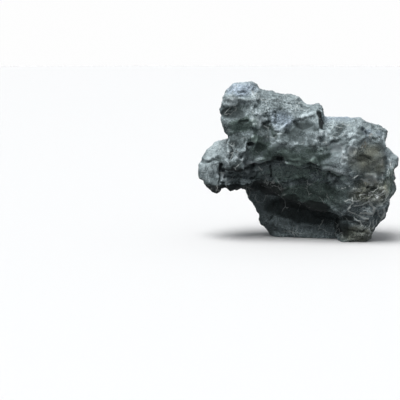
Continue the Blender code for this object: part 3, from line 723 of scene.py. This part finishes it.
def tone_map(points, normals):
    """How much paler or darker the rock is at each point, with the painted shade and painted light of the tone
    tables.
    """
    loose = drifted(points, *TONE_DRIFT)
    patches = np.array([noise.fractal(Vector(point) / PATCHES[0], 1.0, 2.0, 3) for point in points])
    tone_and_painted_light = PATCHES[1] * patches * (1 - seen_from(points, normals, "front", *BROADLY["front"]))
    for side, entries in TONES_AND_PAINTED_LIGHT.items():
        flat = loose[:, SIDES[side][:2]]
        facing = seen_from(points, normals, side, *BROADLY.get(side, BROADLY["other"]))
        for middle, half, tilt, amount in entries.values():
            if side == "front":
                middle, half = on_front(middle), FRONT_PIXEL * np.array(half)
            tone_and_painted_light += amount * facing * tone_share(flat, middle, half, tilt)
    return tone_and_painted_light


# ---------------------------------------------------------------- the fine mesh


def mesh_points(mesh):
    points = np.empty(len(mesh.vertices) * 3)
    mesh.vertices.foreach_get("co", points)
    normals = np.empty(len(mesh.vertices) * 3)
    mesh.vertex_normals.foreach_get("vector", normals)
    return points.reshape(-1, 3) / MM, normals.reshape(-1, 3)


def set_points(mesh, points):
    mesh.vertices.foreach_set("co", (points * MM).ravel())
    mesh.update()


def mesh_edges(mesh):
    edges = np.empty(len(mesh.edges) * 2, np.int32)
    mesh.edges.foreach_get("vertices", edges)
    return edges.reshape(-1, 2)


def add_attribute(mesh, name, values):
    attribute = mesh.attributes.new(name, "FLOAT", "POINT")
    attribute.data.foreach_set("value", values.astype(np.float32))


def smoothed(values, edges, rounds):
    """Each value moved towards the mean of its neighbours, several times."""
    count = np.bincount(edges.ravel(), minlength=len(values)).astype(float)
    count = count.reshape(-1, *[1] * (values.ndim - 1))
    for _ in range(rounds):
        total = np.zeros_like(values)
        np.add.at(total, edges[:, 0], values[edges[:, 1]])
        np.add.at(total, edges[:, 1], values[edges[:, 0]])
        values = (values + total / count) / 2
    return values


def dimple(place, rim):
    """-1 at the middle of a hollow, rising to a sharp rim where hollows meet."""
    nearest = noise.voronoi(place)[0][0]
    return min(4 * nearest * nearest - 1, rim)


def fine_relief(point, rough, pitted, bedded):
    """How far the fine surface stands out: hollows with sharp rims, grit, chips, pits and laminae."""
    shift = drift(point / CELLS[0])
    flattened = Vector((point.x, point.y, point.z * CELL_SQUEEZE))
    height = CELLS[1] * dimple(flattened / CELLS[0] + WARP * shift, CELL_RIM)
    height += GRIT[1] * dimple(point / GRIT[0] + WARP * shift, GRIT_RIM)
    height += CHIPS[1] * noise.fractal(point / CHIPS[0], 0.9, 2.0, 5)
    height *= rough
    pit = noise.voronoi(point / PITS[0] + PIT_WARP * shift)[0][0]
    height -= PITS[1] * max(0, 1 - pit / PIT_WIDTH) * pitted
    share = point.dot(BED_NORMAL) / LAMINAE[0] + WAVES[1] * noise.noise(point / WAVES[0])
    share -= math.floor(share)
    return height + LAMINAE[1] * bedded * (0.5 - share)


def remeshed(source):
    """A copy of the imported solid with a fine, even mesh."""
    stone = bpy.data.objects.new("stone_surface", source.data.copy())
    bpy.context.scene.collection.objects.link(stone)
    remesh = stone.modifiers.new("fine", "REMESH")
    remesh.mode = "VOXEL"
    remesh.voxel_size = VOXEL * MM
    bpy.context.view_layer.update()
    mesh = bpy.data.meshes.new_from_object(stone.evaluated_get(bpy.context.evaluated_depsgraph_get()))
    stone.modifiers.clear()
    stone.data = mesh
    mesh.name = "stone_surface"
    return stone


def weather(mesh):
    """Gives the mesh its fine relief, inside its own box, and marks on it what the material needs."""
    points, _ = mesh_points(mesh)
    low, high = points.min(axis=0), points.max(axis=0)
    set_points(mesh, smoothed(points, mesh_edges(mesh), SMOOTHING))
    points, normals = mesh_points(mesh)
    facing = smoothed(normals, mesh_edges(mesh), FACING_ROUNDS)

    patch = np.array([noise.noise(Vector(point) / PATCH_SIZE) for point in points])
    pitted = np.clip(zone_share(points, PITTED) + PATCH_SHARE * patch, 0, 1)
    bedded = np.clip(zone_share(points, BEDDED) - PATCH_SHARE * patch, 0, 1)
    calm = zone_share(points, SMOOTH)
    rough = (1 - (1 - SMOOTH_SHARE) * calm) * (0.8 + 0.4 * patch + 0.35 * pitted)
    relief = [fine_relief(Vector(point), *shares) for point, *shares in zip(points, rough, pitted, bedded)]

    uneven = drifted(points, *LINE_DRIFT)
    crack = drawn(uneven, facing, CRACKS, groove)
    # The rims are raised a little and also painted paler as a highlight.
    rim = drawn(uneven, facing, HIGHLIGHT_RIMS, highlight_edge)
    height = np.array(relief) - crack + RIM_HEIGHT * rim
    height *= np.clip(points[:, 2] / BASE_FADE, 0, 1)
    set_points(mesh, np.clip(points + normals * height[:, None], low, high))

    add_attribute(mesh, "crack", crack / 2)
    add_attribute(mesh, "rim", rim)
    add_attribute(mesh, "vein", drawn(drifted(points, *VEIN_DRIFT), facing, VEINS, vein))
    # The tone holds painted shade and painted light as well as the rock's own tone.
    add_attribute(mesh, "tone_and_painted_light", tone_map(points, facing))
    add_attribute(mesh, "calm", calm)
    add_attribute(mesh, "pitted", pitted)
    loose = drifted(points, *STAIN_DRIFT)
    for name, zones in STAINS.items():
        add_attribute(mesh, name, zone_share(loose, zones))


def sky_directions():
    """Directions spread evenly over the upper part of the sky."""
    directions = []
    for ring, (height, count) in enumerate(SKY_RINGS):
        for step in range(count):
            angle = 2 * math.pi * (step + 0.5 * ring) / count
            side = math.sqrt(1 - height * height)
            directions.append(Vector((side * math.cos(angle), side * math.sin(angle), height)))
    return directions


def sky_share(tree, directions, start, normal):
    """How much of the sky a point sees."""
    total = seen = 0
    for direction in directions:
        weight = normal.dot(direction) + SKY_SPREAD
        if weight <= 0:
            total += SKY_BEHIND
            continue
        total += weight
        if tree.ray_cast(start, direction, SKY_REACH * MM)[0] is None:
            seen += weight
    return seen / total


def mark_exposure(mesh):
    """Marks how much sky each point sees and how far it stands out, which the material uses for painted shade
    and paler tops.
    """
    points, normals = mesh_points(mesh)
    edges = mesh_edges(mesh)
    tree = tree_of(mesh)
    directions = sky_directions()
    starts = (points + normals * SKY_START) * MM
    looks = zip(starts, normals)
    sky = [sky_share(tree, directions, Vector(start), Vector(normal)) for start, normal in looks]
    add_attribute(mesh, "sky", smoothed(np.array(sky), edges, 1))
    for name, (rounds, full) in RISES.items():
        rise = ((points - smoothed(points, edges, rounds)) * normals).sum(axis=1)
        add_attribute(mesh, name, rise / full)


# ---------------------------------------------------------------- the limestone


class Nodes:
    """Short calls for building a node tree."""

    def __init__(self, tree):
        self.tree = tree
        tree.nodes.clear()

    def add(self, kind, **inputs):
        node = self.tree.nodes.new(kind)
        for name, value in inputs.items():
            self.feed(node.inputs[name.replace("_", " ")], value)
        return node

    def feed(self, socket, value):
        if isinstance(value, bpy.types.NodeSocket):
            self.tree.links.new(value, socket)
        elif isinstance(value, tuple) and socket.type == "RGBA":
            socket.default_value = (*value, 1.0)
        else:
            socket.default_value = value

    def math(self, operation, *numbers):
        node = self.add("ShaderNodeMath")
        node.operation = operation
        for socket, number in zip(node.inputs, numbers):
            self.feed(socket, number)
        return node.outputs[0]

    def total(self, *shares):
        """Sum of value times weight."""
        result = 0.0
        for value, weight in shares:
            result = self.math("MULTIPLY_ADD", value, weight, result)
        return result

    def vector(self, operation, a, b=(0, 0, 0)):
        node = self.add("ShaderNodeVectorMath")
        node.operation = operation
        self.feed(node.inputs[0], a)
        self.feed(node.inputs[3 if operation == "SCALE" else 1], b)
        return node.outputs[1 if operation in ("DOT_PRODUCT", "LENGTH") else 0]

    def noise(self, place, size, detail=4.0, roughness=0.5, offset=(0, 0, 0), output=0):
        """Noise with features of a size in millimetres: output 0 is a value round 0, 1 is three round 0.5."""
        node = self.add(
            "ShaderNodeTexNoise",
            Vector=self.vector("ADD", place, offset),
            Scale=1 / size,
            Detail=detail,
            Roughness=roughness,
        )
        return node.outputs[1] if output else self.math("SUBTRACT", node.outputs[0], 0.5)

    def ramp(self, value, low, high, to_low=0.0, to_high=1.0):
        """value from low..high to to_low..to_high, smooth and clamped."""
        node = self.add("ShaderNodeMapRange")
        node.interpolation_type = "SMOOTHSTEP"
        for socket, number in zip(node.inputs[:5], (value, low, high, to_low, to_high)):
            self.feed(socket, number)
        return node.outputs[0]

    def palette(self, value, stops):
        node = self.add("ShaderNodeValToRGB", Fac=value)
        elements = node.color_ramp.elements
        while len(elements) < len(stops):
            elements.new(0.5)
        for element, (position, color) in zip(elements, stops):
            element.position = position
            element.color = (*color, 1)
        return node.outputs[0]

    def mix(self, share, a, b, blend="MIX"):
        node = self.add("ShaderNodeMix")
        node.data_type = "RGBA"
        node.blend_type = blend
        self.feed(node.inputs[0], share)
        self.feed(node.inputs[6], a)
        self.feed(node.inputs[7], b)
        return node.outputs[2]

    def tint(self, share, color, tint):
        return self.mix(share, color, tint, "MULTIPLY")

    def attribute(self, name):
        node = self.add("ShaderNodeAttribute")
        node.attribute_name = name
        return node.outputs["Fac"]


def net_of_veins(nodes, place, fibre):
    """A broken net of hairline veins, closer where the rock is fibrous."""
    bend = nodes.vector("SCALE", nodes.noise(place, 7, 3, offset=(2, 8, 5), output=1), 6.0)
    shifted = nodes.vector("ADD", place, bend)
    fibrous = nodes.math("MULTIPLY", fibre, FIBRE_NET[2])
    lines = []
    for (size, width), clear in ((PLAIN_NET[:2], PLAIN_NET[2]), (FIBRE_NET[:2], fibrous)):
        cells = nodes.add("ShaderNodeTexVoronoi", Vector=shifted, Scale=1 / size)
        cells.feature = "DISTANCE_TO_EDGE"
        line = nodes.ramp(cells.outputs[0], width * 0.2, width, 1.0, 0.0)
        lines.append(nodes.math("MULTIPLY", line, clear))
    part = nodes.ramp(nodes.noise(place, 15, 2, offset=(7, 7, 1)), -0.02, 0.12)
    part = nodes.math("SUBTRACT", part, nodes.attribute("calm"))
    return nodes.math("MULTIPLY", nodes.math("MAXIMUM", *lines), nodes.math("MAXIMUM", part, 0.0))


def specks(nodes, place, upward):
    """Fine speckle that comes and goes, stronger where the rock is pitted and weaker on its tops."""
    busy = nodes.ramp(nodes.noise(place, 9, 3, 0.6, offset=(4, 4, 9)), -0.14, 0.14, 0.35, 1.0)
    busy = nodes.math("MULTIPLY", busy, nodes.ramp(nodes.attribute("pitted"), 0.0, 1.0, 1.0, 1.4))
    busy = nodes.math("MULTIPLY", busy, nodes.ramp(upward, 0.5, 1.0, 1.0, 0.6))
    return nodes.math("MULTIPLY", nodes.noise(place, 1.1, 2, 0.7, offset=(1, 5, 2)), busy)


def fibres(nodes, place, loose, fibre):
    """Thin sheets wrapped round FIBRE_MIDDLE, where the rock is fibrous."""
    from_middle = nodes.vector("MULTIPLY", nodes.vector("SUBTRACT", loose, FIBRE_MIDDLE), (1.0, 0.0, 0.8))
    sheet = nodes.add("ShaderNodeCombineXYZ", X=nodes.vector("LENGTH", from_middle)).outputs[0]
    along = nodes.vector("MULTIPLY", place, (0.0, 0.16, 0.10))
    wrapped = nodes.noise(nodes.vector("ADD", sheet, along), 1.5, 3, 0.6)
    return nodes.math("MULTIPLY", wrapped, fibre)


def streaks(nodes, place, loose):
    """Upright streaks in some places and flat thin beds in the others."""
    upright = nodes.noise(nodes.vector("MULTIPLY", place, (1.0, 1.0, 0.2)), 2.0, 4, 0.65, offset=(8, 2, 4))
    flat = nodes.vector("MULTIPLY", loose, (0.16, 0.16, 1.0))
    layered = nodes.noise(flat, 2.2, 4, 0.62, offset=(1, 9, 6))
    side = nodes.ramp(nodes.noise(place, 30, 2, offset=(6, 6, 6)), -0.08, 0.08)
    return nodes.total((upright, side), (layered, nodes.math("SUBTRACT", 1.0, side)))


def stained(nodes, color, place, mottle, upward):
    """The color with green shade, olive and blue stains, and rust in spots."""
    shade = nodes.ramp(upward, 0.1, 0.7, 1.0, 0.0)
    color = nodes.tint(nodes.math("MULTIPLY", nodes.attribute("green"), shade), color, GREEN_TINT)
    patchy = nodes.ramp(mottle, -0.2, 0.1, 0.4, 1.0)
    color = nodes.tint(nodes.math("MULTIPLY", nodes.attribute("olive"), patchy), color, OLIVE_TINT)
    color = nodes.tint(nodes.attribute("blue"), color, BLUE_TINT)
    spots = nodes.ramp(nodes.noise(place, 3.2, 3), -0.06, 0.10, 0.0, 0.75)
    return nodes.mix(nodes.math("MULTIPLY", nodes.attribute("rust"), spots), color, IRON)


def limestone():
    """Weathered limestone: painted shade in the hollows, tops paler from dust and painted light, the tone
    tables' painted light and shade, green shade, olive stains and calcite veins.
    """
    material = bpy.data.materials.new("limestone")
    material.use_nodes = True
    nodes = Nodes(material.node_tree)
    place = nodes.vector("SCALE", nodes.add("ShaderNodeTexCoord").outputs["Object"], 1 / MM)
    bend = nodes.vector("SUBTRACT", nodes.noise(place, 11, 3, offset=(5, 1, 3), output=1), (0.5, 0.5, 0.5))
    loose = nodes.vector("ADD", place, nodes.vector("SCALE", bend, 12.0))
    upward = nodes.vector("DOT_PRODUCT", nodes.add("ShaderNodeNewGeometry").outputs["Normal"], SKYWARD)
    sky = nodes.attribute("sky")
    crest = nodes.attribute("crest")
    fibre = nodes.attribute("fibre")

    mottle = nodes.noise(place, 16, 5, 0.62)
    grain = nodes.noise(place, 2.8, 4, 0.65, offset=(3, 6, 9))
    speck = specks(nodes, place, upward)
    streak = streaks(nodes, place, loose)
    blotch = nodes.total((mottle, 0.24), (streak, 0.24), (grain, 0.22), (crest, 0.045))
    lively = nodes.math("MULTIPLY_ADD", nodes.attribute("calm"), -0.75, 1.0)
    # Paler tops: dust and painted light on faces turned up towards the key light and open to the sky.
    dust_and_painted_light = nodes.math("MULTIPLY", nodes.ramp(upward, 0.0, 0.85), nodes.ramp(sky, 0.30, 0.80))
    tone_and_painted_light = nodes.total(
        (blotch, lively),
        (grain, 0.22),
        (speck, 1.3),
        (fibres(nodes, place, loose, fibre), 0.9),
        (nodes.attribute("bulge"), 0.015),
        (dust_and_painted_light, 0.10),
        (nodes.attribute("tone_and_painted_light"), 1.0),
        # painted highlight on the rims
        (nodes.attribute("rim"), 0.22),
        (nodes.attribute("crack"), -0.16),
    )
    top = PALETTE[-1][0]
    color = nodes.palette(
        nodes.math("DIVIDE", nodes.math("ADD", tone_and_painted_light, BASE_TONE), top),
        [(position / top, color) for position, color in PALETTE],
    )
    color = stained(nodes, color, place, mottle, upward)
    # Painted shade: darker in sunken creases and where a point sees little sky.
    sunken_shade = nodes.ramp(crest, -2.4, -0.6, 0.6, 0.0)
    hollow = nodes.math("MAXIMUM", sunken_shade, nodes.ramp(sky, 0.0, 0.24, 0.6, 0.0))
    color = nodes.mix(hollow, color, PAINTED_SHADE_COLOR)
    edge = nodes.total((nodes.attribute("vein"), 1.0), (grain, 0.5), (speck, 0.3))
    veins = nodes.math("MAXIMUM", nodes.ramp(edge, 0.30, 0.60), net_of_veins(nodes, place, fibre))
    color = nodes.mix(nodes.math("MULTIPLY", veins, 0.90), color, CALCITE)

    height = nodes.total((grain, 0.8), (streak, 0.4), (speck, 0.35))
    bump = nodes.add("ShaderNodeBump", Strength=0.8, Distance=0.6 * MM, Height=height)
    shader = nodes.add("ShaderNodeBsdfPrincipled", Base_Color=color, Normal=bump.outputs[0])
    nodes.feed(shader.inputs["Roughness"], nodes.ramp(grain, -0.2, 0.2, 0.72, 0.95))
    shader.inputs["Specular IOR Level"].default_value = 0.3
    nodes.add("ShaderNodeOutputMaterial", Surface=shader.outputs[0])
    return material


# ---------------------------------------------------------------- the studio


def camera():
    data = bpy.data.cameras.new("camera")
    data.lens = LENS
    data.sensor_width = SENSOR
    data.clip_end = 100
    eye = bpy.data.objects.new("camera", data)
    bpy.context.scene.collection.objects.link(eye)
    eye.location = EYE
    eye.rotation_mode = "QUATERNION"
    eye.rotation_quaternion = (-BACKWARD).to_track_quat("-Z", "Y")
    bpy.context.scene.camera = eye


def paper(name, color, glow):
    material = bpy.data.materials.new(name)
    material.use_nodes = True
    shader = material.node_tree.nodes["Principled BSDF"].inputs
    shader["Base Color"].default_value = (*color, 1)
    shader["Roughness"].default_value = 0.9
    shader["Emission Color"].default_value = (1, 1, 1, 1)
    shader["Emission Strength"].default_value = glow
    return material


def stage():
    """A pale floor and a white backdrop, neither of which lights the stone."""
    bpy.ops.mesh.primitive_circle_add(
        vertices=ROUND, radius=FLOOR_RADIUS, fill_type="NGON", location=(0, 0, -FLOOR_DROP)
    )
    floor = bpy.context.object
    floor.name = "floor"
    floor.data.materials.append(paper("floor_paper", FLOOR_COLOR, 0.0))
    floor.visible_diffuse = False
    bpy.ops.mesh.primitive_cylinder_add(
        vertices=ROUND,
        radius=BACKDROP_RADIUS,
        depth=BACKDROP_HEIGHT,
        end_fill_type="NOTHING",
        location=(0, 0, BACKDROP_HEIGHT / 2 - BACKDROP_SINK),
    )
    backdrop = bpy.context.object
    backdrop.name = "backdrop"
    backdrop.data.materials.append(paper("backdrop_paper", (0, 0, 0), BACKDROP_GLOW))
    backdrop.visible_diffuse = False
    backdrop.visible_glossy = False
    backdrop.visible_shadow = False


def key_light():
    sun = bpy.data.lights.new("key", "SUN")
    sun.energy = KEY_STRENGTH
    sun.angle = KEY_ANGLE
    key = bpy.data.objects.new("key", sun)
    bpy.context.scene.collection.objects.link(key)
    key.rotation_mode = "QUATERNION"
    key.rotation_quaternion = KEY_DIRECTION.to_track_quat("-Z", "Y")


def sky_light():
    world = bpy.data.worlds.new("studio")
    world.use_nodes = True
    nodes = Nodes(world.node_tree)
    up = nodes.vector("DOT_PRODUCT", nodes.add("ShaderNodeTexCoord").outputs["Generated"], (0, 0, 1))
    glow = nodes.ramp(up, -0.5, 0.6, *SKY_STRENGTH)
    sky = nodes.add("ShaderNodeBackground", Color=SKY_COLOR, Strength=glow)
    nodes.add("ShaderNodeOutputWorld", Surface=sky.outputs[0])
    bpy.context.scene.world = world
    bpy.context.scene.view_settings.view_transform = "Standard"


camera()
surface = remeshed(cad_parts["stone"])
weather(surface.data)
surface.data.shade_smooth()
mark_exposure(surface.data)
surface.data.materials.clear()
surface.data.materials.append(limestone())
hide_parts("stone")
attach(surface, "root")
stage()
key_light()
sky_light()
